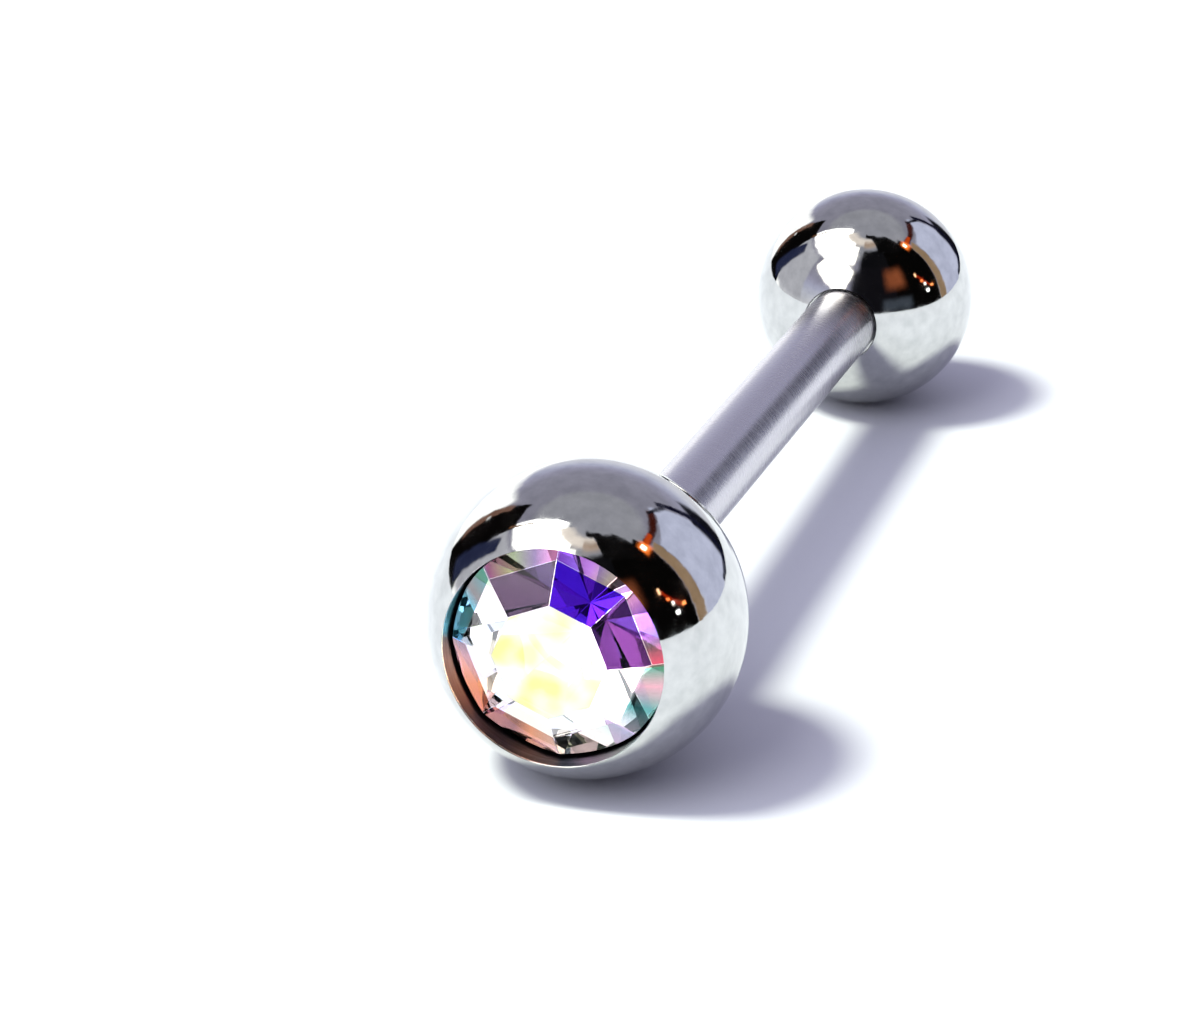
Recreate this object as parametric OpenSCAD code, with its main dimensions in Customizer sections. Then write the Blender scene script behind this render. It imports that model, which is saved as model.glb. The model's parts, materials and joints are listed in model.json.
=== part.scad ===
// Straight tongue barbell: a steel shaft with a screw end on each side, a larger ball that
// carries a round cut stone, and a smaller plain ball. It lies on its two balls as it would
// on a table, so the shaft leans a little towards the smaller ball. Sizes are in millimetres.

/* [Shaft] */
// Diameter of the shaft, 14 gauge
shaft_d = 1.6; // [1.2:0.1:2.0]
// Length of shaft that shows between the two balls
shaft_len = 16; // [10:0.5:22]

/* [Screw ends] */
// How much lower the thread's crests lie than the shaft's surface
thread_step = 0.06; // [0.05:0.01:0.1]
// Distance from one thread crest to the next
thread_pitch = 0.35; // [0.25:0.05:0.4]
// How far the full shaft reaches into each ball
socket_depth = 0.25; // [0.15:0.05:0.4]
// Clearance between the shaft and the balls' holes, on the radius
fit_gap = 0.03; // [0.02:0.01:0.05]
// Clearance between the screw's tip and the bottom of its hole
tip_gap = 0.1; // [0.05:0.05:0.2]
// Length of thread inside the plain ball
plain_thread_len = 1.8; // [1.2:0.1:2.2]

/* [Gem ball] */
// Diameter of the ball that carries the stone
gem_ball_d = 6; // [5.6:0.1:8]
// Clearance between the stone and its seat
seat_gap = 0.06; // [0.03:0.01:0.1]
// Width of the polished break along the edge of the stone's hole
rim_break = 0.06; // [0.03:0.01:0.1]
// Metal left between the stone's seat and the screw hole
web = 0.4; // [0.3:0.05:0.6]

/* [Stone] */
// Diameter of the stone over its girdle
stone_d = 4.1; // [3.6:0.1:4.3]
// Number of facets in each ring of the cut
facet_count = 8; // [8:2:12]
// Width of the table across its flats
table_w = 2.04; // [1.8:0.02:2.4]
// Width across the flats where the crown facets meet the steeper rim facets
crown_w = 3.38; // [3.1:0.02:3.5]
// Slope of the crown facets, in degrees
crown_slope = 33; // [28:1:36]
// Slope of the narrow rim facets, in degrees
rim_slope = 38; // [36:1:46]
// Slope of the pavilion facets behind the girdle, in degrees
pavilion_slope = 42; // [40:1:44]
// Thinnest part of the girdle
girdle_t = 0.08; // [0.06:0.02:0.16]
// How far the table stands in front of the edge of the hole
table_proud = 0.17; // [0.1:0.01:0.3]

/* [Plain ball] */
// Diameter of the plain ball
plain_ball_d = 5; // [4:0.1:6]

/* [Hidden] */
$fn = 96;

// Overlap of a cutting shape past the face that it cuts
cut = 1;
shaft_r = shaft_d / 2;
gem_r = gem_ball_d / 2;
plain_r = plain_ball_d / 2;
stone_r = stone_d / 2;

// The bar's own frame has its origin at the middle of the gem ball, +Z out through the stone
// and +Y up. The shaft runs down -Z, to the middle of the plain ball.
gem_face = sqrt(gem_r * gem_r - shaft_r * shaft_r);
plain_face = sqrt(plain_r * plain_r - shaft_r * shaft_r);
ball_pitch = gem_face + shaft_len + plain_face;

// Stone, worked out from the table back to the culet
half_step = 180 / facet_count;
seat_r = stone_r + seat_gap;
rim_z = sqrt(gem_r * gem_r - seat_r * seat_r);
table_z = rim_z + table_proud;
crown_z = table_z - (crown_w - table_w) / 2 * tan(crown_slope);
girdle_top_z = crown_z - (stone_r - crown_w / 2) * tan(rim_slope);
girdle_z = girdle_top_z - girdle_t;
culet_z = girdle_z - stone_r * tan(pavilion_slope);
table_corner_r = table_w / 2 / cos(half_step);

// Seat: a round wall and a cone that follows the ridges between the pavilion facets
seat_slope = atan(tan(pavilion_slope) * cos(half_step));
seat_tip_z = culet_z - seat_gap / cos(seat_slope);
seat_floor_z = seat_tip_z + seat_r * tan(seat_slope);

// Screw ends
thread_r = shaft_r - thread_step;
thread_depth = 0.6 * thread_pitch;
hole_r = thread_r + fit_gap;
socket_r = shaft_r + fit_gap;
gem_shoulder_z = -(gem_face - socket_depth);
plain_shoulder_z = -(ball_pitch - plain_face + socket_depth);
gem_hole_end_z = seat_tip_z - web;
gem_thread_len = gem_hole_end_z - tip_gap - gem_shoulder_z;

// Lying on its two balls
lean = asin((gem_r - plain_r) / ball_pitch);
front_reach = max(table_z * cos(lean) + table_corner_r * sin(abs(lean)),
                  rim_z * cos(lean) + seat_r * sin(abs(lean)));
back_reach = ball_pitch * cos(lean) + plain_r;

// Places a shape from the bar's frame where the barbell lies, with the middle of the whole
// length over the origin and the floor at z = 0
module lying() {
    translate([0, (front_reach - back_reach) / 2, gem_r])
        rotate([90 - lean, 0, 0])
            children();
}

// Four points of one thread crest, centred on height z
function crest(z) = [
    [thread_r - thread_depth, z - thread_pitch * 0.44],
    [thread_r, z - thread_pitch * 0.08],
    [thread_r, z + thread_pitch * 0.08],
    [thread_r - thread_depth, z + thread_pitch * 0.44]
];

// Screw end from its shoulder at height 0 to its tip at height len. The crests are rings one
// pitch apart, with a short plain neck before them and a plain tip after them.
module screw_end(len) {
    count = floor(len / thread_pitch - 0.5);
    rotate_extrude()
        polygon(concat(
            [[0, -cut], [thread_r - thread_depth, -cut]],
            [for (k = [1 : count]) each crest(k * thread_pitch)],
            [[thread_r - thread_depth, len], [0, len]]
        ));
}

// Steel shaft with both screw ends
module shaft() {
    color([0.66, 0.65, 0.70])
        lying() {
            translate([0, 0, plain_shoulder_z])
                cylinder(r = shaft_r, h = gem_shoulder_z - plain_shoulder_z);
            translate([0, 0, gem_shoulder_z])
                screw_end(gem_thread_len);
            translate([0, 0, plain_shoulder_z])
                rotate([180, 0, 0])
                    screw_end(plain_thread_len);
        }
}

// Screw hole that opens down -Z, with a shallow socket for the full shaft. face is the
// distance from the ball's middle to the plane where the shaft enters.
module screw_hole(face, end_z) {
    mouth_z = -face + socket_depth + fit_gap;
    translate([0, 0, -face - cut])
        cylinder(r = socket_r, h = mouth_z + face + cut);
    translate([0, 0, -face - cut])
        cylinder(r = hole_r, h = end_z + face + cut);
}

// Everything that the tool takes out for the stone: a cone behind, a round wall, and the
// broken edge of the hole in front
module seat() {
    wall_top_z = rim_z - rim_break;
    front_z = gem_r + cut;
    rotate_extrude()
        polygon([
            [0, seat_tip_z],
            [seat_r, seat_floor_z],
            [seat_r, wall_top_z],
            [seat_r + front_z - wall_top_z, front_z],
            [0, front_z]
        ]);
}

// Larger ball, bored from the front for the stone
module gem_ball() {
    color([0.72, 0.71, 0.75])
        lying()
            difference() {
                sphere(r = gem_r);
                seat();
                screw_hole(gem_face, gem_hole_end_z);
            }
}

// Cuts everything beyond one flat facet. The facet looks out at angle turn round the stone,
// slope degrees away from +Z, and passes through the point at distance out and height z.
module beyond_facet(turn, slope, out, z) {
    side = 3 * stone_d;
    rotate([0, 0, turn])
        translate([out, 0, z])
            rotate([0, slope, 0])
                translate([-side / 2, -side / 2, 0])
                    cube(side);
}

// Round brilliant with a pointed back: table, crown facets, narrow rim facets, girdle and
// pavilion facets
module gem_stone() {
    color([0.93, 0.88, 0.98])
        lying()
            difference() {
                translate([0, 0, culet_z - cut])
                    cylinder(r = stone_r, h = table_z - culet_z + cut);
                for (k = [0 : facet_count - 1]) {
                    turn = (2 * k + 1) * half_step;
                    beyond_facet(turn, crown_slope, crown_w / 2, crown_z);
                    beyond_facet(turn, rim_slope, crown_w / 2, crown_z);
                    beyond_facet(turn, 180 - pavilion_slope, stone_r, girdle_z);
                }
            }
}

// Smaller ball with no stone
module plain_ball() {
    color([0.72, 0.71, 0.75])
        lying()
            translate([0, 0, -ball_pitch])
                difference() {
                    sphere(r = plain_r);
                    rotate([180, 0, 0])
                        screw_hole(plain_face,
                                   -plain_face + socket_depth + plain_thread_len + tip_gap);
                }
}

shaft();
gem_ball();
gem_stone();
plain_ball();
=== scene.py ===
# %% [markdown]
# # A tongue barbell in Blender
# The real thing is a straight steel bar with a ball screwed on each end. The larger ball is bored
# for a round crystal with a colour-coated front and a foiled back. The construction model already
# holds every size and place, so this lesson only dresses it: each piece is modelled again with soft
# edges, a real thread and finished surfaces, exactly where the frame says it is.

# %% Load the frame
import json
import math
from collections import namedtuple

import bmesh
import bpy
from mathutils import Matrix, Vector


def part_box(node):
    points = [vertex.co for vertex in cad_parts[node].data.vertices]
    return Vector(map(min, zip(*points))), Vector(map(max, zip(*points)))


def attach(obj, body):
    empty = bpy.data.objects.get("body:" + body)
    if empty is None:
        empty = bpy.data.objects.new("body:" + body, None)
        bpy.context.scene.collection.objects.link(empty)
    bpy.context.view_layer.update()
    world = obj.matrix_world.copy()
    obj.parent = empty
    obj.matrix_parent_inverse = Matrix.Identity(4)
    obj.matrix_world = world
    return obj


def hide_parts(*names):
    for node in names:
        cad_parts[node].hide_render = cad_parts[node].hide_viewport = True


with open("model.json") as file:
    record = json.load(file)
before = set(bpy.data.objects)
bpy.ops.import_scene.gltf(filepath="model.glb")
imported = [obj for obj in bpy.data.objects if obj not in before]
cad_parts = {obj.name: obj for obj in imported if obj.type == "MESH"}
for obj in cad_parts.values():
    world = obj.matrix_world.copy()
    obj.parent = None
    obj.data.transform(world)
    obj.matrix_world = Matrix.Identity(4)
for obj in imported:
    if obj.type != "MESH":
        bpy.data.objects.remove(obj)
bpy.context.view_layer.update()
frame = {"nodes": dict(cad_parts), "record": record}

print("CAD nodes:", sorted(frame["nodes"]))

# %% [markdown]
# ## The bar's own frame
# A turned piece is easiest to model round its own axis, in millimetres. So every piece is made in
# the bar's frame: the origin is the middle of the gem ball, +Z points out through the stone, +Y
# points up, and the shaft runs down -Z. One matrix then lays the finished piece down on its two
# balls. It could be typed in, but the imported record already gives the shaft's axis, so the matrix
# is worked out from there and can't drift from the model.

# %% Sizes read from the frame
MM = 0.001
mount = frame["record"]["mounts"][0]
shaft_r = mount["dims"]["r_mm"]
shaft_len = mount["dims"]["length_mm"]


def half_width(node):
    """Half of a CAD node's width across the bar, in mm."""
    low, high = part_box(node)
    return round((high.x - low.x) / 2 / MM, 2)


gem_r = half_width("gem_ball")
plain_r = half_width("plain_ball")
stone_r = half_width("gem_stone")
gem_face = math.sqrt(gem_r**2 - shaft_r**2)
plain_face = math.sqrt(plain_r**2 - shaft_r**2)
ball_pitch = gem_face + shaft_len + plain_face
print(f"gem ball r {gem_r}, plain ball r {plain_r}, stone r {stone_r}, {ball_pitch:.3f} mm between balls")

# %% The matrices that lay the pieces down
toward_plain = Vector(mount["axis"]).normalized()
out = -toward_plain
side = Vector((1, 0, 0))
up = out.cross(side)
gem_centre = Vector(mount["pos_m"]) - toward_plain * (shaft_len / 2 + gem_face) * MM
lying = Matrix((side, up, out)).transposed().to_4x4()
bar_place = Matrix.Translation(gem_centre) @ lying @ Matrix.Scale(MM, 4)
plain_ball_place = bar_place @ Matrix.Translation((0, 0, -ball_pitch)) @ Matrix.Rotation(math.pi, 4, "X")
print("gem ball centre, mm:", [round(c / MM, 3) for c in gem_centre])

# %% [markdown]
# ## Camera
# The photograph looks slightly down on the gem ball from the front right, with a long lens close to
# the jewel. The place comes from a fit of both balls, the bar and the stone's corners. The clipping
# distance is set here, because the jewel is nearer than Blender's usual 0.1 m.

# %% The camera
CAMERA_PLACE = Vector((20.795, -75.748, 32.174)) * MM
CAMERA_AZIMUTH = math.radians(17.537)
CAMERA_ELEVATION = math.radians(21.543)
LENS_MM = 120

bpy.ops.object.camera_add(
    location=CAMERA_PLACE,
    rotation=(math.pi / 2 - CAMERA_ELEVATION, 0, CAMERA_AZIMUTH),
)
camera = bpy.context.object
camera.name = "photo_camera"
camera.data.sensor_fit = "HORIZONTAL"
camera.data.lens = LENS_MM
camera.data.clip_start = MM
bpy.context.scene.camera = camera

# %% [markdown]
# ## Small helpers for shaping
# Edit-mode operators act on whatever is selected, so a lesson in code needs three things: a clean
# start, a way to pick faces or edges by their place, and a way to draw a ring out to a new radius
# and height, which is how a lathe profile is built up by hand.

# %% Starting clean and picking by place
# Heights closer than this count as the same, in mm
NEAR = 1e-4


def start_fresh():
    """Leaves edit mode and deselects everything, so that the next operator acts on one piece."""
    if bpy.context.mode != "OBJECT":
        bpy.ops.object.mode_set(mode="OBJECT")
    bpy.ops.object.select_all(action="DESELECT")


def pick(kind, test):
    """Selects the VERTs, EDGEs or FACEs of the piece in edit mode that pass a test."""
    bpy.ops.mesh.select_mode(type=kind)
    bpy.ops.mesh.select_all(action="DESELECT")
    shape = bmesh.from_edit_mesh(bpy.context.object.data)
    parts = {"VERT": shape.verts, "EDGE": shape.edges, "FACE": shape.faces}[kind]
    chosen = [part for part in parts if test(part)]
    for part in chosen:
        part.select = True
    shape.select_flush_mode()
    bmesh.update_edit_mesh(bpy.context.object.data)
    return len(chosen)


def at_height(z):
    """A test for edges that lie level at height z."""
    return lambda edge: all(abs(corner.co.z - z) < NEAR for corner in edge.verts)


# %% Drawing a ring out, and cutting flat
# Corners closer to a cut than this are taken to lie on it, in mm
CUT_NEAR = 1e-5


def ring_to(radius, z):
    """Extrudes the selected ring and brings the new one to a radius and a height."""
    shape = bmesh.from_edit_mesh(bpy.context.object.data)
    corner = next(v for v in shape.verts if v.select).co
    grow = radius / math.hypot(corner.x, corner.y)
    rise = z - corner.z
    bpy.ops.mesh.extrude_region()
    bpy.ops.transform.resize(value=(grow, grow, 1), center_override=(0, 0, 0))
    bpy.ops.transform.translate(value=(0, 0, rise))


def cut_beyond(place, facing, fill):
    """Cuts off everything beyond a plane that faces outwards, and fills the cut if asked."""
    bpy.ops.mesh.select_all(action="SELECT")
    bpy.ops.mesh.bisect(
        plane_co=place, plane_no=facing, use_fill=fill, clear_outer=True, threshold=CUT_NEAR
    )


# %% Finishing a piece
SMOOTH_ANGLE = math.radians(28)


def finish_piece(piece, name, place, angle=SMOOTH_ANGLE):
    """Names a piece, smooths it up to an angle, and lays it down with its place in its mesh."""
    start_fresh()
    piece.name = name
    piece.data.name = name
    piece.select_set(True)
    bpy.context.view_layer.objects.active = piece
    bpy.ops.object.shade_smooth_by_angle(angle=angle)
    piece.matrix_world = place
    bpy.ops.object.transform_apply(location=True, rotation=True, scale=True)
    corners = len(piece.data.vertices)
    triangles = sum(len(face.vertices) - 2 for face in piece.data.polygons)
    print(f"{name}: {corners} vertices, {triangles} triangles")


def flatten_wide_normals(piece):
    """Lets the wide faces rule the shading, so a mirror surface stays true up to a soft edge."""
    modifier = piece.modifiers.new("true_mirror", "WEIGHTED_NORMAL")
    modifier.keep_sharp = True
    bpy.context.view_layer.objects.active = piece
    bpy.ops.object.modifier_apply(modifier=modifier.name)


# %% [markdown]
# ## Shared sizes of the fits
# The balls screw onto the shaft, so both sides of each fit use the same few values, with the
# same clearances as the construction model. All are in millimetres. The wall is the steel left
# between the seat of the stone and the screw hole behind it.

# %% Fits
FIT_GAP = 0.03
SOCKET_DEPTH = 0.25
THREAD_STEP = 0.06
THREAD_PITCH = 0.35
THREAD_DEPTH = 0.21
TIP_GAP = 0.1
PLAIN_THREAD_LEN = 1.8
WALL = 0.4
SEAT_GAP = 0.06

thread_r = shaft_r - THREAD_STEP
root_r = thread_r - THREAD_DEPTH
hole_r = thread_r + FIT_GAP
socket_r = shaft_r + FIT_GAP
seat_r = stone_r + SEAT_GAP
rim_z = math.sqrt(gem_r**2 - seat_r**2)

# %% [markdown]
# ## The stone's proportions
# A chaton is a round brilliant with a pointed back. Here it has a table, eight crown facets, eight
# narrow rim facets below them and eight pavilion facets. Each ring of facets needs only a slope and
# the place where it starts, so the whole cut is three slopes and a few widths.

# %% Proportions
FACET_COUNT = 8
TABLE_W = 2.04
CROWN_W = 3.38
CROWN_SLOPE = math.radians(33)
RIM_SLOPE = math.radians(38)
PAVILION_SLOPE = math.radians(42)
GIRDLE_T = 0.08
TABLE_PROUD = 0.17

half_step = math.pi / FACET_COUNT
table_z = rim_z + TABLE_PROUD
crown_z = table_z - (CROWN_W - TABLE_W) / 2 * math.tan(CROWN_SLOPE)
girdle_top_z = crown_z - (stone_r - CROWN_W / 2) * math.tan(RIM_SLOPE)
girdle_z = girdle_top_z - GIRDLE_T
culet_z = girdle_z - stone_r * math.tan(PAVILION_SLOPE)
seat_slope = math.atan(math.tan(PAVILION_SLOPE) * math.cos(half_step))
seat_tip_z = culet_z - SEAT_GAP / math.cos(seat_slope)
seat_floor_z = seat_tip_z + seat_r * math.tan(seat_slope)
gem_hole_end_z = seat_tip_z - WALL
print(f"table at {table_z:.3f}, girdle at {girdle_z:.3f}, culet at {culet_z:.3f} mm")

# %% [markdown]
# ## The balls
# On the real thing a ball is turned from bar, drilled and tapped from behind, and the larger one is
# bored in front for the stone. It could be a boolean of a sphere and cylinders, but that leaves long
# thin triangles that spoil a mirror. Here the sphere is cut level where a hole starts, and the open
# ring is drawn inwards step by step, as a turner's profile, so every face stays in tidy rings.

# %% Ball with its tapped hole
BALL_SEGMENTS = 192
BALL_RINGS = 128
GROOVE_DEPTH = 0.08
# Half a groove's width, and the plain end of the hole, as shares of the pitch
GROOVE_HALF = 0.35
PLAIN_END = 0.5
MOUTH_BREAK = 0.03


def drilled_ball(radius, face, hole_end_z):
    """A ball round the origin with a screw hole that opens down -Z. It is left in edit mode."""
    start_fresh()
    bpy.ops.mesh.primitive_uv_sphere_add(segments=BALL_SEGMENTS, ring_count=BALL_RINGS, radius=radius)
    ball = bpy.context.object
    bpy.ops.object.mode_set(mode="EDIT")
    entry_z = -math.sqrt(radius**2 - (socket_r + MOUTH_BREAK) ** 2)
    cut_beyond((0, 0, entry_z), (0, 0, -1), fill=False)
    pick("EDGE", at_height(entry_z))
    mouth_z = -face + SOCKET_DEPTH + FIT_GAP
    ring_to(socket_r, entry_z + MOUTH_BREAK)
    ring_to(socket_r, mouth_z)
    ring_to(hole_r + FIT_GAP, mouth_z)
    ring_to(hole_r, mouth_z + FIT_GAP)
    grooves = int((hole_end_z - mouth_z) / THREAD_PITCH - PLAIN_END)
    for k in range(grooves):
        low_z = mouth_z + (k + GROOVE_HALF) * THREAD_PITCH
        ring_to(hole_r, low_z)
        ring_to(hole_r + GROOVE_DEPTH, low_z + THREAD_PITCH * GROOVE_HALF)
        ring_to(hole_r, low_z + THREAD_PITCH * (2 * GROOVE_HALF))
    ring_to(hole_r, hole_end_z)
    bpy.ops.mesh.edge_face_add()
    return ball


# %% The gem ball, bored for its stone
RIM_ROUND = 0.05
RIM_STEPS = 6
# The seat's cone ends in a flat this many times smaller than the seat
TIP_PARTS = 40

gem_ball = drilled_ball(gem_r, gem_face, gem_hole_end_z)
cut_beyond((0, 0, rim_z), (0, 0, 1), fill=False)
pick("EDGE", at_height(rim_z))
ring_to(seat_r, seat_floor_z)
ring_to(seat_r / TIP_PARTS, seat_tip_z + (seat_floor_z - seat_tip_z) / TIP_PARTS)
bpy.ops.mesh.edge_face_add()
pick("EDGE", at_height(rim_z))
bpy.ops.mesh.bevel(
    offset=RIM_ROUND, offset_type="OFFSET", segments=RIM_STEPS, profile=0.5, affect="EDGES",
    clamp_overlap=False,
)
finish_piece(gem_ball, "bored_ball", bar_place)
flatten_wide_normals(gem_ball)

# %% The plain ball
plain_hole_end_z = -plain_face + SOCKET_DEPTH + PLAIN_THREAD_LEN + TIP_GAP
plain_ball = drilled_ball(plain_r, plain_face, plain_hole_end_z)
finish_piece(plain_ball, "smaller_ball", plain_ball_place)
flatten_wide_normals(plain_ball)

# %% [markdown]
# ## The stone
# A cutter grinds one flat facet after another on a blank. The same is done here: a round blank, and
# one bisect for each facet that removes what lies beyond it and fills the cut. A cone with eight
# sides would be quicker, but wouldn't give the scalloped girdle that real facets leave. The edges
# between facets then get a hair-fine bevel, because a real edge is never perfectly sharp and
# catches a thin line of light.

# %% Grinding the facets
GIRDLE_SIDES = 96
BLANK_SPARE = 0.5
# How much deeper the wheel bit into each rim facet, from the right-hand one above the middle,
# anticlockwise. The rim meets the crown at a shallow angle, so a hundredth widens a facet a lot.
RIM_BITES = [0, 0, 0, 0, 0.010, 0.022, 0.020, 0.012]


def grind_ring(slope, distance, z, bites=(0,) * FACET_COUNT):
    """Grinds a ring of flat facets that pass through one distance from the axis at height z."""
    for k, bite in enumerate(bites):
        turn = (2 * k + 1) * half_step
        around = Vector((math.cos(turn), math.sin(turn), 0))
        facing = around * math.sin(slope) + Vector((0, 0, math.cos(slope)))
        cut_beyond(around * distance + Vector((0, 0, z)) - facing * bite, facing, fill=True)


blank_base_z = culet_z - BLANK_SPARE
start_fresh()
bpy.ops.mesh.primitive_cylinder_add(
    vertices=GIRDLE_SIDES,
    radius=stone_r,
    depth=table_z - blank_base_z,
    location=(0, 0, (table_z + blank_base_z) / 2),
)
stone = bpy.context.object
bpy.ops.object.transform_apply(location=True)
bpy.ops.object.mode_set(mode="EDIT")
grind_ring(CROWN_SLOPE, CROWN_W / 2, crown_z)
grind_ring(RIM_SLOPE, CROWN_W / 2, crown_z, RIM_BITES)
grind_ring(math.pi - PAVILION_SLOPE, stone_r, girdle_z)

# %% Breaking the edges between facets
EDGE_BREAK = 0.009
RIDGE_ANGLE = math.radians(4.5)
# A face belongs to the girdle when its normal leans forward or back by less than this
SIDEWAYS = 0.2


def is_ridge(edge):
    """True for an edge between two flat facets; the round girdle's own edges stay as they are."""
    if len(edge.link_faces) != 2:
        return False
    on_girdle = any(abs(face.normal.z) < SIDEWAYS for face in edge.link_faces)
    return not on_girdle and edge.calc_face_angle() > RIDGE_ANGLE


ridges = pick("EDGE", is_ridge)
bpy.ops.mesh.bevel(offset=EDGE_BREAK, segments=1, affect="EDGES", clamp_overlap=True)
finish_piece(stone, "cut_crystal", bar_place, angle=RIDGE_ANGLE)
print(f"{ridges} facet edges broken")

# %% [markdown]
# ## The shaft
# The real bar is ground wire with a fine thread rolled on each end. A thread could be a picture of
# rings in the material, but it shows when a ball is off, so it is cut for real. The Screw modifier
# turns one flank-crest-flank profile into a long helix whose turns join up, two flat cuts close it,
# and booleans join it to the bar.

# %% The helix of the thread
THREAD_STEPS = 64
# Where the thread's crest ends and its flank ends, as shares of the pitch from the crest's middle
CREST_HALF = 0.08
FLANK_HALF = 0.44
TURN_HALF = 0.5
# Turns made beyond the thread's length, for the two cuts to remove
SPARE_TURNS = 3


def helix(length):
    """A thread round the Z axis, from height 0 to length, cut flat and closed at both ends."""
    profile = [
        (root_r, -TURN_HALF), (root_r, -FLANK_HALF), (thread_r, -CREST_HALF),
        (thread_r, CREST_HALF), (root_r, FLANK_HALF), (root_r, TURN_HALF),
    ]
    mesh = bpy.data.meshes.new("screw_end")
    corners = [(r, 0, share * THREAD_PITCH) for r, share in profile]
    mesh.from_pydata(corners, [(k, k + 1) for k in range(len(corners) - 1)], [])
    stud = bpy.data.objects.new("screw_end", mesh)
    bpy.context.scene.collection.objects.link(stud)
    start_fresh()
    stud.select_set(True)
    bpy.context.view_layer.objects.active = stud
    screw = stud.modifiers.new("helix", "SCREW")
    screw.angle = math.tau
    screw.screw_offset = THREAD_PITCH
    screw.iterations = int(length / THREAD_PITCH) + SPARE_TURNS
    screw.steps = THREAD_STEPS
    screw.render_steps = THREAD_STEPS
    screw.use_merge_vertices = True
    screw.merge_threshold = NEAR
    bpy.ops.object.modifier_apply(modifier=screw.name)
    bpy.ops.object.mode_set(mode="EDIT")
    bpy.ops.mesh.select_all(action="SELECT")
    bpy.ops.mesh.remove_doubles(threshold=NEAR)
    bpy.ops.transform.translate(value=(0, 0, -THREAD_PITCH))
    cut_beyond((0, 0, 0), (0, 0, -1), fill=True)
    cut_beyond((0, 0, length), (0, 0, 1), fill=True)
    bpy.ops.mesh.select_all(action="SELECT")
    bpy.ops.mesh.normals_make_consistent(inside=False)
    return stud


# %% One screw end
TIP_TAPER = 0.2
BAR_SIDES = 96


def keep_only(piece, other, operation):
    """Joins, cuts or trims a piece with another by a boolean, and removes the other."""
    modifier = piece.modifiers.new("join", "BOOLEAN")
    modifier.operation = operation
    modifier.solver = "EXACT"
    modifier.object = other
    bpy.context.view_layer.objects.active = piece
    bpy.ops.object.modifier_apply(modifier=modifier.name)
    bpy.data.objects.remove(other)


def screw_end(length):
    """A threaded stud on the origin with its tapered tip at height length."""
    stud = helix(length)
    start_fresh()
    bpy.ops.mesh.primitive_cylinder_add(vertices=BAR_SIDES, radius=shaft_r, depth=2 * length)
    envelope = bpy.context.object
    bpy.ops.object.mode_set(mode="EDIT")
    pick("EDGE", at_height(length))
    bpy.ops.mesh.bevel(offset=TIP_TAPER + THREAD_STEP, segments=1, affect="EDGES")
    start_fresh()
    keep_only(stud, envelope, "INTERSECT")
    return stud


# %% The shaft with both screw ends
SHOULDER_BREAK = 0.03

gem_shoulder_z = -(gem_face - SOCKET_DEPTH)
plain_shoulder_z = -(ball_pitch - plain_face + SOCKET_DEPTH)
gem_thread_len = gem_hole_end_z - TIP_GAP - gem_shoulder_z
# How far each stud is sunk into the bar, so that the union has something to join
sunk = SOCKET_DEPTH / 2

start_fresh()
bpy.ops.mesh.primitive_cylinder_add(
    vertices=BAR_SIDES,
    radius=shaft_r,
    depth=gem_shoulder_z - plain_shoulder_z,
    location=(0, 0, (gem_shoulder_z + plain_shoulder_z) / 2),
)
shaft = bpy.context.object
bpy.ops.object.transform_apply(location=True)
bpy.ops.object.mode_set(mode="EDIT")
pick("EDGE", lambda edge: at_height(gem_shoulder_z)(edge) or at_height(plain_shoulder_z)(edge))
bpy.ops.mesh.bevel(offset=SHOULDER_BREAK, segments=3, affect="EDGES")
start_fresh()
gem_end = screw_end(gem_thread_len + sunk)
gem_end.matrix_world = Matrix.Translation((0, 0, gem_shoulder_z - sunk))
plain_end = screw_end(PLAIN_THREAD_LEN + sunk)
turned_round = Matrix.Rotation(math.pi, 4, "X")
plain_end.matrix_world = Matrix.Translation((0, 0, plain_shoulder_z + sunk)) @ turned_round
bpy.context.view_layer.update()
for stud in (gem_end, plain_end):
    keep_only(shaft, stud, "UNION")
finish_piece(shaft, "threaded_bar", bar_place)
flatten_wide_normals(shaft)

# %% [markdown]
# ## Colours and nodes
# Designers give colours as sRGB hex, and shaders want linear numbers, so one function turns them.
# A second small function adds a node with its settings and links, which keeps each material short
# enough to read.

# %% Colour and node helpers
WHITE = (1, 1, 1, 1)


def linear(hex_colour, strength=1.0):
    """Turns an sRGB hex colour into linear RGBA, times a strength for lights."""
    channels = [int(hex_colour[k:k + 2], 16) / 255 for k in (1, 3, 5)]
    return [
        strength * (c / 12.92 if c <= 0.04045 else ((c + 0.055) / 1.055) ** 2.4) for c in channels
    ] + [1.0]


def add_node(tree, kind, inputs=None, **settings):
    """Adds a node. Each input is given a value, or the output socket that feeds it."""
    made = tree.nodes.new(kind)
    for name, value in settings.items():
        setattr(made, name, value)
    for socket, value in (inputs or {}).items():
        if isinstance(value, bpy.types.NodeSocket):
            tree.links.new(value, made.inputs[socket])
        else:
            made.inputs[socket].default_value = value
    return made


def new_material(name, **uniform):
    """A new material with the shader's uniform values set on its own sockets."""
    material = bpy.data.materials.new(name)
    material.use_nodes = True
    shader = material.node_tree.nodes["Principled BSDF"]
    for socket, value in uniform.items():
        shader.inputs[socket.replace("_", " ")].default_value = value
    return material, material.node_tree, shader


# %% [markdown]
# ## Where a spot lies
# The steel's marks run round the bar and the stone's colours change round it, so both need a spot's
# place in the bar's own frame. No texture coordinates have to be unwrapped: the matrix that laid
# the pieces down also leads back.


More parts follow.
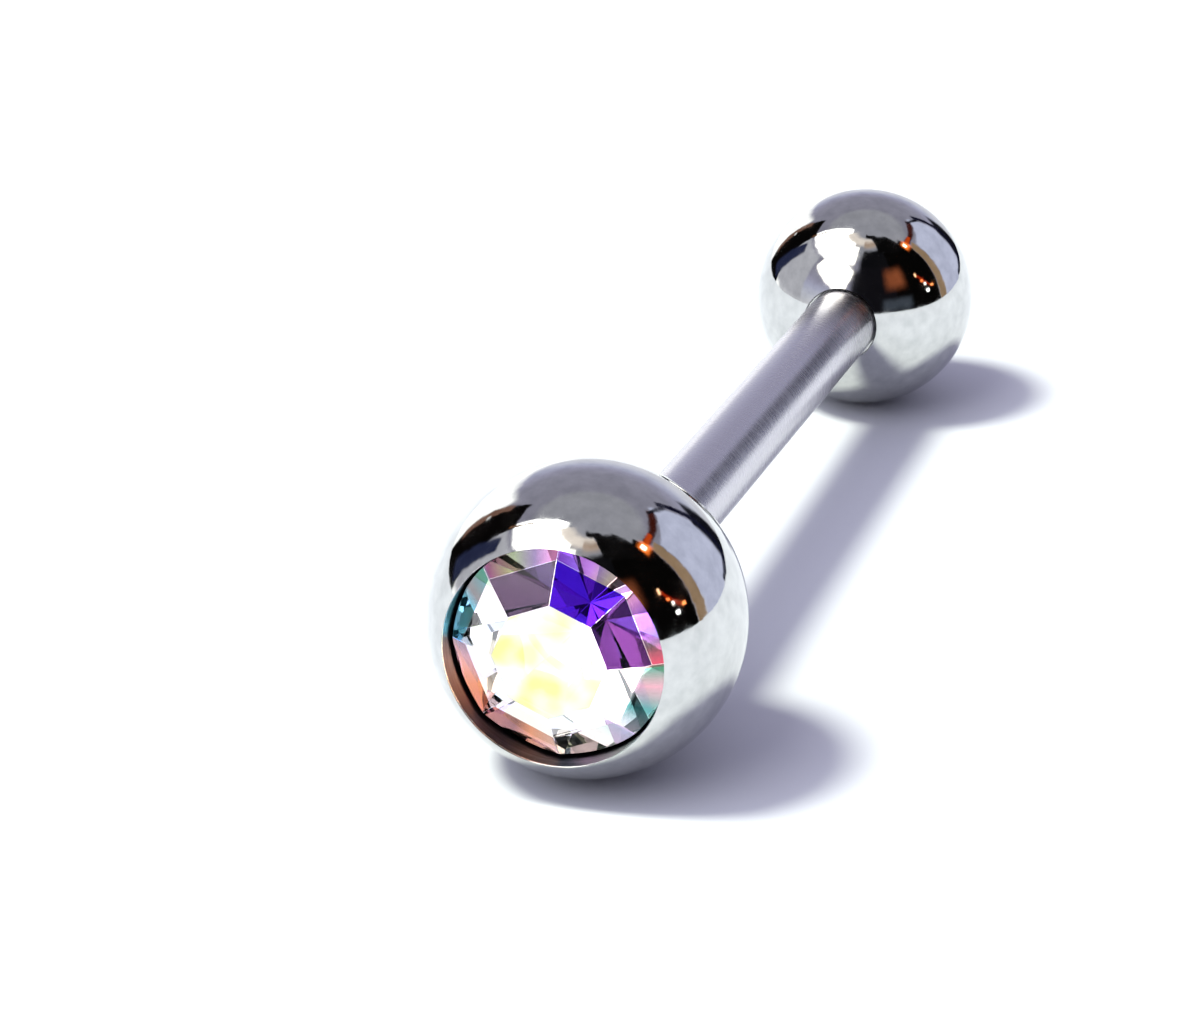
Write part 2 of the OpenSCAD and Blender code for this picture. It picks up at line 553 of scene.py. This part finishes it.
# %% A spot in the bar's frame
def own_frame(tree, across=1.0):
    """A spot's place in the bar's frame, in metres, with x and y squeezed by a factor."""
    where = add_node(tree, "ShaderNodeTexCoord")
    place = add_node(tree, "ShaderNodeMapping",
                     {"Vector": where.outputs["Object"], "Location": bar_place.translation,
                      "Rotation": bar_place.to_euler(), "Scale": (across, across, 1.0)},
                     vector_type="TEXTURE")
    return place.outputs[0]


def round_the_bar(tree, stops, interpolation="LINEAR"):
    """A colour that changes round the bar, from (degrees, colour) stops between -180 and 180."""
    place = add_node(tree, "ShaderNodeSeparateXYZ", {0: own_frame(tree)})
    turn = add_node(tree, "ShaderNodeMath", {0: place.outputs[1], 1: place.outputs[0]},
                    operation="ARCTAN2")
    share = add_node(tree, "ShaderNodeMapRange",
                     {"Value": turn.outputs[0], "From Min": -math.pi, "From Max": math.pi})
    ramp = add_node(tree, "ShaderNodeValToRGB", {0: share.outputs[0]})
    ramp.color_ramp.interpolation = interpolation
    elements = ramp.color_ramp.elements
    for k, (degrees, colour) in enumerate(stops):
        position = degrees / 360 + 0.5
        stop = elements[k] if k < 2 else elements.new(position)
        stop.position = position
        stop.color = colour
    return ramp.outputs[0]


# %% [markdown]
# ## Buffed steel of the balls
# The balls are 316L surgical steel, tumbled in media and buffed to a mirror. Buffing leaves a haze
# of micro scratches and a faint orange-peel wave, which a perfectly smooth mirror lacks. Two noises
# in real sizes give that: one varies the roughness and the tone, one ripples the surface.

# %% Buffed 316L steel
HAZE_MM = 0.3
HAZE_LOW, HAZE_HIGH = 0.35, 0.7
BALL_SMOOTHEST, BALL_ROUGHEST = 0.03, 0.10
RIPPLE_MM = 0.25
RIPPLE_DEPTH_MM = 0.004
RIPPLE_STRENGTH = 0.3


def buffed_steel():
    """316L steel buffed to a mirror: neutral grey, a faint haze and a slight ripple."""
    material, tree, shader = new_material("buffed_316L_steel", Metallic=1.0)
    where = add_node(tree, "ShaderNodeTexCoord").outputs["Object"]
    haze = add_node(tree, "ShaderNodeTexNoise",
                    {"Vector": where, "Scale": 1 / (HAZE_MM * MM), "Detail": 6.0})
    rough = add_node(tree, "ShaderNodeMapRange",
                     {"Value": haze.outputs[0], "From Min": HAZE_LOW, "From Max": HAZE_HIGH,
                      "To Min": BALL_SMOOTHEST, "To Max": BALL_ROUGHEST})
    tree.links.new(rough.outputs[0], shader.inputs["Roughness"])
    tint = add_node(tree, "ShaderNodeMix",
                    {0: haze.outputs[0], 6: linear("#ABADAC"), 7: linear("#DCDDDA")}, data_type="RGBA")
    tree.links.new(tint.outputs[2], shader.inputs["Base Color"])
    ripple = add_node(tree, "ShaderNodeTexNoise",
                      {"Vector": where, "Scale": 1 / (RIPPLE_MM * MM), "Detail": 3.0})
    bump = add_node(tree, "ShaderNodeBump",
                    {"Height": ripple.outputs[0], "Strength": RIPPLE_STRENGTH,
                     "Distance": RIPPLE_DEPTH_MM * MM})
    tree.links.new(bump.outputs[0], shader.inputs["Normal"])
    return material


ball_steel = buffed_steel()

# %% [markdown]
# ## Ground steel of the bar
# The bar is centreless-ground wire with a light polish, so it is less bright than the balls and
# has very fine lines round it. A noise that is stretched across the bar, but not along it, draws
# those lines.

# %% Ground 316L steel
LINE_MM = 0.05
LINE_STRETCH = 20.0
LINE_LOW, LINE_HIGH = 0.3, 0.7
BAR_SMOOTHEST, BAR_ROUGHEST = 0.25, 0.30


def ground_steel():
    """316L wire, centreless ground and lightly polished: a soft mirror with lines round the bar."""
    material, tree, shader = new_material("ground_316L_steel", Metallic=1.0)
    where = own_frame(tree, across=LINE_STRETCH)
    lines = add_node(tree, "ShaderNodeTexNoise",
                     {"Vector": where, "Scale": 1 / (LINE_MM * MM), "Detail": 3.0})
    rough = add_node(tree, "ShaderNodeMapRange",
                     {"Value": lines.outputs[0], "From Min": LINE_LOW, "From Max": LINE_HIGH,
                      "To Min": BAR_SMOOTHEST, "To Max": BAR_ROUGHEST})
    tree.links.new(rough.outputs[0], shader.inputs["Roughness"])
    tint = add_node(tree, "ShaderNodeMix",
                    {0: lines.outputs[0], 6: linear("#BCBAC1"), 7: linear("#C6C4C9")}, data_type="RGBA")
    tree.links.new(tint.outputs[2], shader.inputs["Base Color"])
    return material


bar_steel = ground_steel()

# %% [markdown]
# ## Crystal, its coating and its foil
# The stone is clear crystal glass. Its front wears an interference coating, a film far thinner than
# paint that mirrors part of the light in one colour and lets the rest through in another, and which
# colours those are depends on how each facet stands. The back is foiled to a mirror, and a silver
# lacquer seals the foil round the girdle. Painting the colours on an opaque surface would look flat
# from any other side. Instead every facet notes what its film mirrors and what it lets through, the
# front is real glass, and the renderer's rays find the star of facets in the back by themselves.
# Along the narrow rim facets, painted reflections and glints are mixed into the film's colour.

# %% What each facet's film does
Film = namedtuple("Film", "mirrors share lets_through")
TABLE_FILM = Film("#FFFCA2", 0.74, "#C8C4D8")
EDGE_FILM = Film("#FFF4EC", 0.40, "#FFFFFF")
# From the right-hand facet above the middle, anticlockwise as seen from the front
CROWN_FILMS = [
    Film("#C8A0E0", 0.03, "#402352"),
    Film("#8060E0", 0.03, "#4016AC"),
    Film("#B0A0B0", 0.03, "#564A5C"),
    Film("#F0FFFF", 0.10, "#F0FFFA"),
    Film("#FFFFFF", 0.05, "#FAFFF4"),
    Film("#FCFFFF", 0.05, "#FFFFF4"),
    Film("#FFFFFF", 0.30, "#F4FFFF"),
    Film("#FFFFFF", 0.30, "#FFFFFF"),
]
# The rim facets' films differ only in how much they mirror
RIM_SHARES = [0.20, 0.20, 0.20, 0.30, 0.10, 0.10, 0.20, 0.35]
# Their colours change along each facet: the coating's colour with painted reflections and glints
# in it. Degrees round the bar, anticlockwise, and a colour, with four stops to a facet
RIM_TINTS_AND_PAINTED_REFLECTIONS = [
    (-179.5, "#A89C98"), (-166, "#DCAE9C"), (-152, "#DD9C74"), (-136, "#D89078"),
    (-134.5, "#C48878"), (-118, "#A87C74"), (-107, "#F4AD86"), (-91, "#ECC4B0"),
    (-89.5, "#8C9890"), (-76, "#FFFFF0"), (-66, "#E8ECE0"), (-46, "#C4E8DC"),
    (-44.5, "#F0FFFF"), (-30, "#60B8B0"), (-14, "#D8B8C4"), (-1, "#60B4A0"),
    (0.5, "#B85068"), (12, "#60585E"), (30, "#9C60C0"), (44, "#FFB8CC"),
    (45.5, "#FFC8FF"), (58, "#E0D4C0"), (70, "#C494FF"), (89, "#8C50B8"),
    (90.5, "#F4B8C8"), (104, "#9C9098"), (117, "#A0B478"), (134, "#804870"),
    (135.5, "#68A8A8"), (150, "#909490"), (158, "#78CCD8"), (179, "#74D8F8"),
]

# %% Coated crystal glass
# The film's thickness drifts, so that a wide facet mirrors in soft patches about this wide
PATCH_MM = 0.8
PATCH_LOW, PATCH_HIGH = 0.38, 0.60


def coated_crystal():
    """Clear crystal glass under a thin interference film, with a colour of its own on each facet."""
    material, tree, glass = new_material(
        "coated_crystal_glass", Transmission_Weight=1.0, Roughness=0.0, IOR=1.55
    )
    through = add_node(tree, "ShaderNodeAttribute", attribute_name="film_lets_through").outputs
    mirrored = add_node(tree, "ShaderNodeAttribute", attribute_name="film_mirrors").outputs
    backfacing = add_node(tree, "ShaderNodeNewGeometry").outputs["Backfacing"]
    # Where the noted alpha is 0 the facet is a rim facet, and the ramp gives its colour, painted
    # reflections included
    rim = round_the_bar(tree, [(turn, linear(tint)) for turn, tint in RIM_TINTS_AND_PAINTED_REFLECTIONS])
    inner = add_node(tree, "ShaderNodeMix", {0: through["Alpha"], 6: rim, 7: through["Color"]},
                     data_type="RGBA")
    # The shader tints light by the root of its colour at each surface, so the colour is squared,
    # and light that leaves the stone isn't tinted again
    entering = add_node(tree, "ShaderNodeMix", {0: backfacing, 6: inner.outputs[2], 7: WHITE},
                        data_type="RGBA")
    squared = add_node(tree, "ShaderNodeVectorMath", {0: entering.outputs[2], 1: entering.outputs[2]},
                       operation="MULTIPLY")
    tree.links.new(squared.outputs[0], glass.inputs["Base Color"])
    drift = add_node(tree, "ShaderNodeTexNoise",
                     {"Vector": own_frame(tree), "Scale": 1 / (PATCH_MM * MM), "Detail": 1.5})
    pale = add_node(tree, "ShaderNodeMapRange",
                    {"Value": drift.outputs[0], "From Min": PATCH_LOW, "From Max": PATCH_HIGH})
    patchy = add_node(tree, "ShaderNodeMix", {0: pale.outputs[0], 6: mirrored["Color"], 7: WHITE},
                      data_type="RGBA")
    outer = add_node(tree, "ShaderNodeMix", {0: through["Alpha"], 6: rim, 7: patchy.outputs[2]},
                     data_type="RGBA")
    film = add_node(tree, "ShaderNodeBsdfPrincipled",
                    {"Base Color": outer.outputs[2], "Metallic": 1.0, "Roughness": 0.0})
    outside = add_node(tree, "ShaderNodeMath", {0: 1.0, 1: backfacing}, operation="SUBTRACT")
    share = add_node(tree, "ShaderNodeMath", {0: mirrored["Alpha"], 1: outside.outputs[0]},
                     operation="MULTIPLY")
    both = add_node(tree, "ShaderNodeMixShader",
                    {0: share.outputs[0], 1: glass.outputs[0], 2: film.outputs[0]})
    tree.links.new(both.outputs[0], tree.nodes["Material Output"].inputs["Surface"])
    return material


# %% Foil, and lacquer with a painted glow
# The foil's tint on each facet, from the left-hand one below the middle, anticlockwise
FOIL_TINTS = ["#FFE8F8", "#E8E8FF", "#FFE0F0", "#FFFFE8", "#E8F4FF", "#FFF8E0", "#F4E8FF", "#F0FFF4"]
# Painted glow where the lacquer on the girdle catches the light: degrees round the bar, brightness
PAINTED_GLOW = [(-25, 0.0), (-18, 1.25), (100, 1.25), (108, 0.0)]


def foiled_back():
    """The foiled pavilion: a bright mirror with a breath of colour on each facet."""
    material, tree, shader = new_material("foiled_crystal_back", Metallic=1.0, Roughness=0.0)
    stops = [(-180 + k * 360 / FACET_COUNT, linear(tint)) for k, tint in enumerate(FOIL_TINTS)]
    tree.links.new(round_the_bar(tree, stops, "CONSTANT"), shader.inputs["Base Color"])
    return material


def lacquered_girdle_painted_glow():
    """The silver lacquer that seals the foil and laps over the girdle, rough from the brush.

    In a real stone the light that enters the front lights this lacquer up. The renderer's rays carry
    no lamp light through glass, so on the side that the softbox lights a painted glow stands in.
    """
    material, tree, shader = new_material(
        "silver_lacquer_painted_glow", Base_Color=linear("#C8D0D4"), Metallic=1.0, Roughness=0.45,
        Emission_Strength=1.0,
    )
    # Painted light: a glow on the side that the softbox lights, standing in for light through the glass
    glow = round_the_bar(tree, [(turn, linear("#F8FFFF", strength)) for turn, strength in PAINTED_GLOW])
    tree.links.new(glow, shader.inputs["Emission Color"])
    return material


glass = coated_crystal()
foil = foiled_back()
lacquer = lacquered_girdle_painted_glow()

# %% [markdown]
# ## Bored steel of the seat, darkened with painted shade
# The seat keeps the fine rings that the boring tool cut, and its steel is painted much darker than
# real steel, as shade in the recess. It could share the balls' finish, but then the narrow
# crescent beside the stone would be as bright as the rim, and the stone wouldn't look sunk in.

# %% Bored 316L steel with painted shade
TOOL_MARK_MM = 0.07
TOOL_MARK_STRETCH = 20.0
TOOL_MARK_DEPTH_MM = 0.02
TOOL_MARK_STRENGTH = 0.5


def bored_steel_painted_shade():
    """The bored seat with the tool's fine rings, darker than the buffed outside by painted shade."""
    material, tree, shader = new_material("bored_316L_steel_painted_shade", Metallic=1.0, Roughness=0.3)
    where = own_frame(tree, across=TOOL_MARK_STRETCH)
    rings = add_node(tree, "ShaderNodeTexNoise",
                     {"Vector": where, "Scale": 1 / (TOOL_MARK_MM * MM), "Detail": 2.0})
    # Painted shade: both tones sit far below real steel, so the seat reads as a recess in shade
    tint = add_node(tree, "ShaderNodeMix",
                    {0: rings.outputs[0], 6: linear("#2A2C2F"), 7: linear("#6C7176")}, data_type="RGBA")
    tree.links.new(tint.outputs[2], shader.inputs["Base Color"])
    bump = add_node(tree, "ShaderNodeBump",
                    {"Height": rings.outputs[0], "Strength": TOOL_MARK_STRENGTH,
                     "Distance": TOOL_MARK_DEPTH_MM * MM})
    tree.links.new(bump.outputs[0], shader.inputs["Normal"])
    return material


seat_steel_painted_shade = bored_steel_painted_shade()

# %% [markdown]
# ## Putting the finishes on
# The bar and the plain ball take one material each. The gem ball has a second one in its seat, and
# the stone has three: glass in front, lacquer round the girdle and foil behind.

# %% Assigning the materials
FINISHES = [
    (gem_ball, [ball_steel, seat_steel_painted_shade]),
    (plain_ball, [ball_steel]),
    (shaft, [bar_steel]),
    (stone, [glass, foil, lacquer]),
]
for piece, finishes in FINISHES:
    for finish in finishes:
        piece.data.materials.append(finish)

# %% The stone's three finishes
GLASS, FOIL, LACQUER = range(3)
for face in stone.data.polygons:
    forward = face.normal.dot(out)
    face.material_index = FOIL if forward < -SIDEWAYS else LACQUER if forward < SIDEWAYS else GLASS
for k, slot in enumerate(stone.data.materials):
    print(slot.name, sum(face.material_index == k for face in stone.data.polygons), "faces")

# %% The seat's finish, darkened with painted shade
# The rounded rim ends above this height and stays buffed
round_end_z = rim_z - 1.5 * RIM_ROUND
to_bar = bar_place.inverted()
for face in gem_ball.data.polygons:
    place = to_bar @ face.center
    deep = seat_tip_z < place.z < round_end_z
    face.material_index = int(deep and math.hypot(place.x, place.y) < seat_r + NEAR)
print("bored faces:", sum(face.material_index for face in gem_ball.data.polygons))

# %% Noting each facet's film
Facets = namedtuple("Facets", "slope films")
RIM_FILMS = [Film("#FFFFFF", share, None) for share in RIM_SHARES]
RINGS = [Facets(CROWN_SLOPE, CROWN_FILMS), Facets(RIM_SLOPE, RIM_FILMS)]
SAME_SLOPE = math.radians(1)
NO_COLOUR = (1, 1, 1, 0)


def film_of(normal):
    """The film on a facet, found by where its normal points in the bar's frame."""
    slope = normal.angle(Vector((0, 0, 1)))
    if slope < SAME_SLOPE:
        return TABLE_FILM
    turn = math.atan2(normal.y, normal.x) % math.tau
    for ring in RINGS:
        if abs(slope - ring.slope) < SAME_SLOPE:
            return ring.films[int(turn / (2 * half_step))]
    return EDGE_FILM


mirrors = stone.data.color_attributes.new("film_mirrors", "FLOAT_COLOR", "CORNER")
lets_through = stone.data.color_attributes.new("film_lets_through", "FLOAT_COLOR", "CORNER")
turn_back = to_bar.to_3x3().normalized()
for face in stone.data.polygons:
    film = film_of(turn_back @ face.normal)
    for corner in face.loop_indices:
        mirrors.data[corner].color = linear(film.mirrors)[:3] + [film.share]
        lets_through.data[corner].color = linear(film.lets_through) if film.lets_through else NO_COLOUR

# %% [markdown]
# ## Floor and light
# The jewel lies on white board under a soft key light from the upper left and a wide, weaker one
# beside it, with a pale room round it. Polished steel is nothing but its surroundings, so the room
# matters as much as the lamps. It could be modelled, but a room that only shows in mirrors is
# quicker to paint on the sky as a set of soft cards, as a product photographer would hang them: a
# large softbox, black flags, a lavender panel and a few small lamps. Matt surfaces get an even,
# slightly blue fill instead, so the shadows on the board stay clean.

# %% White board
start_fresh()
bpy.ops.mesh.primitive_plane_add(size=1.0)
board = bpy.context.object
board.name = "white_board"
# Matt white painted board
board_white = new_material(
    "matt_white_board", Base_Color=linear("#EFEFEF"), Roughness=0.7, Specular_IOR_Level=0.1
)[0]
board.data.materials.append(board_white)


# %% Key light and the wider light beside it
def direction(azimuth, elevation):
    """Unit vector at an azimuth from the front (-Y), towards +X, and an elevation, in radians."""
    level = math.cos(elevation)
    return Vector((math.sin(azimuth) * level, -math.cos(azimuth) * level, math.sin(elevation)))


# Angles are in degrees, as for the cards below. Mirrors don't see the lamps, only the cards.
Lamp = namedtuple("Lamp", "name azimuth elevation size strength colour")
LAMPS = [
    Lamp("key_light", -61, 59, 14, 3.3, "#F8FFF2"),
    Lamp("window_light", -42, 40, 60, 1.5, "#E6ECFF"),
]
for lamp in LAMPS:
    bpy.ops.object.light_add(type="SUN")
    light = bpy.context.object
    light.name = lamp.name
    toward = direction(math.radians(lamp.azimuth), math.radians(lamp.elevation))
    light.rotation_euler = toward.to_track_quat("Z", "Y").to_euler()
    light.data.energy = lamp.strength
    light.data.color = linear(lamp.colour)[:3]
    light.data.angle = math.radians(lamp.size)
    light.visible_glossy = False
print(len(LAMPS), "lamps")

# %% The cards of the room
# Angles are in degrees from the front towards +X and up; the edge is how wide a card fades out
Card = namedtuple("Card", "name azimuth elevation half_width half_height edge turn colour strength")
ROOM = [
    Card("white card, left", -127, -2, 28, 28, 5, 45, "#FFFFFF", 1.8),
    Card("grey card under the softbox", -80, 22, 22, 22, 4, 0, "#D8D8E2", 1.0),
    Card("softbox", -60, 62, 43, 18, 4, 0, "#FFFEFA", 6.0),
    Card("softbox, lower end", -29, 39, 25, 16, 4, -24, "#FFFAF0", 5.0),
    Card("softbox, right end", -22, 60, 20, 12, 5, 0, "#FFFAF0", 5.0),
    Card("cream card over the softbox", -18, 77, 62, 7.5, 6, 0, "#FFF2E8", 1.3),
    Card("tan end of the cream card", 26, 74, 22, 7, 7, 0, "#D8BCA8", 0.9),
    Card("black flag, left", -111.5, 22, 13, 26, 1.5, -4, "#0C0A0A", 1.0),
    Card("brown edge of the flag", -122, 22, 3, 16, 1.5, -5, "#8E6A5C", 1.0),
    Card("white spot on the edge", -120, 23, 1.6, 1.6, 1, 0, "#FFFFFF", 1.2),
    Card("brown edge above", -98.5, 50, 1.8, 9, 1.5, -12, "#8A6044", 1.0),
    Card("navy card", -98.5, 20, 6.5, 20, 3, -29, "#2E3454", 1.0),
    Card("dark front", 14, 18, 22, 30, 9, 0, "#24242A", 1.0),
    Card("dark corner", 36, 30, 36, 36, 8, 0, "#17161B", 1.0),
    Card("black flag, inner", 30, 57, 24, 12, 5, 0, "#141418", 1.0),
    Card("black flag, right", 76.5, 30, 27.5, 33, 2, 0, "#090808", 1.0),
    Card("black flag, upper", 69, 69, 27, 12.5, 3, -12, "#0E0D0E", 1.0),
    Card("black flag, arch", 42, 83, 34, 3, 2, -4, "#141216", 1.0),
    Card("copper card", 51, 33, 17, 15, 12, 0, "#A85C3A", 1.0),
    Card("grey card, low", 50, 7, 20, 9, 7, 0, "#4C535E", 1.0),
    Card("tan edge of the flag", 108, 25, 5.5, 26, 1.5, 0, "#B49678", 1.0),
    Card("lavender panel", 134, 21, 21.5, 26, 2, 0, "#D4D8F4", 1.18),
    Card("dark red strip", 128, 51, 24, 3.4, 2, -9, "#4A1C14", 1.0),
    Card("dark card, back", 160, 4, 9, 18, 4, 0, "#15151F", 1.0),
    Card("navy line, top", 152, 43, 2.0, 9, 1.5, 32, "#14121F", 1.0),
    Card("navy line, side", 157.8, 19, 2.6, 21, 1.5, -2, "#14142E", 1.0),
    Card("navy corner", 150, 0.5, 9, 3, 1.5, 8, "#10122E", 1.0),
    Card("ember tail", 112, 54, 9, 2.6, 2, -4, "#D04A14", 1.3),
    Card("orange glow", 99.5, 54, 8, 6, 5, 0, "#FF7A2C", 2.6),
    Card("orange core", 99, 54.5, 3, 2.4, 1.5, 0, "#FFF0D0", 7.0),
    Card("ember streak", 86, 21.5, 10, 1.7, 1.5, -46, "#B83010", 1.3),
    Card("small lamp 1", 79, 29, 1.4, 2.0, 1, 0, "#FFC090", 4.0),
    Card("small lamp 2", 84, 21.5, 1.8, 1.5, 1, 0, "#FF8040", 3.0),
    Card("small lamp 3", 86.5, 18.5, 1.7, 1.6, 1, 0, "#FFF4E8", 6.0),
    Card("small lamp 4", 88, 12, 2.3, 1.7, 1, 0, "#FFFFFF", 6.0),
    Card("small lamp 5", 95, 14, 2.6, 1.4, 1, 0, "#FF9050", 4.0),
]
# The crystal looks into a brighter front of the room than the steel shows
FOR_CRYSTAL = [
    Card("bright room", 35, 12, 32, 42, 6, 0, "#F8F8FF", 2.4),
    Card("front softbox", -12, 27, 17, 17, 4, 0, "#FFFFFF", 6.5),
    Card("white card, low front", -9, 1, 13, 9, 4, 0, "#FFFFFF", 1.7),
]
STRAIGHT_UP = 90.0
# Colour of the room with no cards: share of the way from the horizon to straight up, colour
DOME = [
    (0.0, "#F4F4FC"), (0.10, "#ECEEFF"), (0.18, "#CED0EC"), (0.25, "#B8B6D0"),
    (0.34, "#AAA8BC"), (0.60, "#A2A0B2"), (0.645, "#B4B4BF"), (1.0, "#B4B4C0"),
]
FILL = "#A8A8C4"
CAMERA_SEES = "#F6F6F8"
# Hand-hung cards are never quite straight: how many degrees their edges stray, and how often
WOBBLE = 3.0
WOBBLE_SCALE = 9.0

# %% Painting the room
world = bpy.data.worlds.new("pale_room")
world.use_nodes = True
bpy.context.scene.world = world
tree = world.node_tree
looking = add_node(tree, "ShaderNodeTexCoord").outputs["Generated"]
wobble = add_node(tree, "ShaderNodeTexNoise", {"Vector": looking, "Scale": WOBBLE_SCALE, "Detail": 3.0})
part = add_node(tree, "ShaderNodeSeparateXYZ", {0: looking}).outputs
forward = add_node(tree, "ShaderNodeMath", {0: part[1], 1: -1.0}, operation="MULTIPLY")
azimuth = add_node(tree, "ShaderNodeMath", {0: part[0], 1: forward.outputs[0]}, operation="ARCTAN2")
elevation = add_node(tree, "ShaderNodeMath", {0: part[2]}, operation="ARCSINE")
angles = add_node(tree, "ShaderNodeCombineXYZ", {0: azimuth.outputs[0], 1: elevation.outputs[0]})
degrees = add_node(tree, "ShaderNodeVectorMath", {0: angles.outputs[0], 3: 180 / math.pi},
                   operation="SCALE")
shift = add_node(tree, "ShaderNodeVectorMath",
                 {0: wobble.outputs["Color"], 1: (WOBBLE, WOBBLE, 0), 2: (-WOBBLE / 2, -WOBBLE / 2, 0)},
                 operation="MULTIPLY_ADD")
seen = add_node(tree, "ShaderNodeVectorMath", {0: degrees.outputs[0], 1: shift.outputs[0]},
                operation="ADD").outputs[0]

# %% The room with no cards
height = add_node(tree, "ShaderNodeSeparateXYZ", {0: seen}).outputs[1]
above_horizon = add_node(tree, "ShaderNodeMath", {0: height, 1: STRAIGHT_UP}, operation="DIVIDE")
dome = add_node(tree, "ShaderNodeValToRGB", {0: above_horizon.outputs[0]})
elements = dome.color_ramp.elements
for k, (position, colour) in enumerate(DOME):
    stop = elements[k] if k < 2 else elements.new(position)
    stop.position = position
    stop.color = linear(colour)


# %% Hanging the cards
def hang(cards, painted):
    """Paints cards over a colour of the room, one after another."""
    for card in cards:
        local = add_node(tree, "ShaderNodeMapping",
                         {"Vector": seen, "Location": (card.azimuth, card.elevation, 0),
                          "Rotation": (0, 0, math.radians(card.turn)),
                          "Scale": (card.half_width, card.half_height, 1)},
                         vector_type="TEXTURE")
        reach = add_node(tree, "ShaderNodeVectorMath", {0: local.outputs[0]}, operation="ABSOLUTE")
        inner = (1 - card.edge / card.half_width, 1 - card.edge / card.half_height, 0)
        # Sockets 6 to 10 are the vector, the range it comes from and the range it goes to
        mask = add_node(tree, "ShaderNodeMapRange",
                        {6: reach.outputs[0], 7: (1, 1, 1), 8: inner, 9: (0, 0, 0), 10: (1, 1, 1)},
                        data_type="FLOAT_VECTOR", interpolation_type="SMOOTHSTEP")
        sides = add_node(tree, "ShaderNodeSeparateXYZ", {0: mask.outputs[1]}).outputs
        inside = add_node(tree, "ShaderNodeMath", {0: sides[0], 1: sides[1]}, operation="MULTIPLY")
        light = linear(card.colour, card.strength)
        painted = add_node(tree, "ShaderNodeMix", {0: inside.outputs[0], 6: painted, 7: light},
                           data_type="RGBA", label=card.name).outputs[2]
    return painted


room = hang(ROOM, dome.outputs[0])
crystal_room = hang(FOR_CRYSTAL, room)
print(len(ROOM) + len(FOR_CRYSTAL), "cards hung")

# %% What each kind of ray gets
# Mirrors see the room, the inside of the stone a brighter one, matt surfaces an even fill, and the
# camera a plain pale background
ray = add_node(tree, "ShaderNodeLightPath").outputs
SEEN_BY = [
    ("Is Transmission Ray", crystal_room),
    ("Is Diffuse Ray", linear(FILL)),
    ("Is Camera Ray", linear(CAMERA_SEES)),
]
shown = room
for kind, colour in SEEN_BY:
    shown = add_node(tree, "ShaderNodeMix", {0: ray[kind], 6: shown, 7: colour},
                     data_type="RGBA").outputs[2]
tree.links.new(shown, tree.nodes["Background"].inputs["Color"])
bpy.context.scene.view_settings.view_transform = "Standard"
bpy.context.scene.cycles.glossy_bounces = 10
bpy.context.scene.cycles.caustics_reflective = False
bpy.context.scene.cycles.caustics_refractive = False

# %% [markdown]
# ## Fastening the pieces to the frame
# Each piece stands for a node of the construction model and rides on that node's body, so it
# follows when a ball is screwed off.

# %% Riding and replacing
Part = namedtuple("Part", "piece body node slot")
PARTS = [
    Part(shaft, "shaft", "shaft", "shaft_steel"),
    Part(gem_ball, "gem_ball", "gem_ball", "ball_steel"),
    Part(stone, "gem_ball", "gem_stone", "coated_crystal"),
    Part(plain_ball, "plain_ball", "plain_ball", "ball_steel"),
]
for part in PARTS:
    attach(part.piece, part.body)
    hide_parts(part.node)
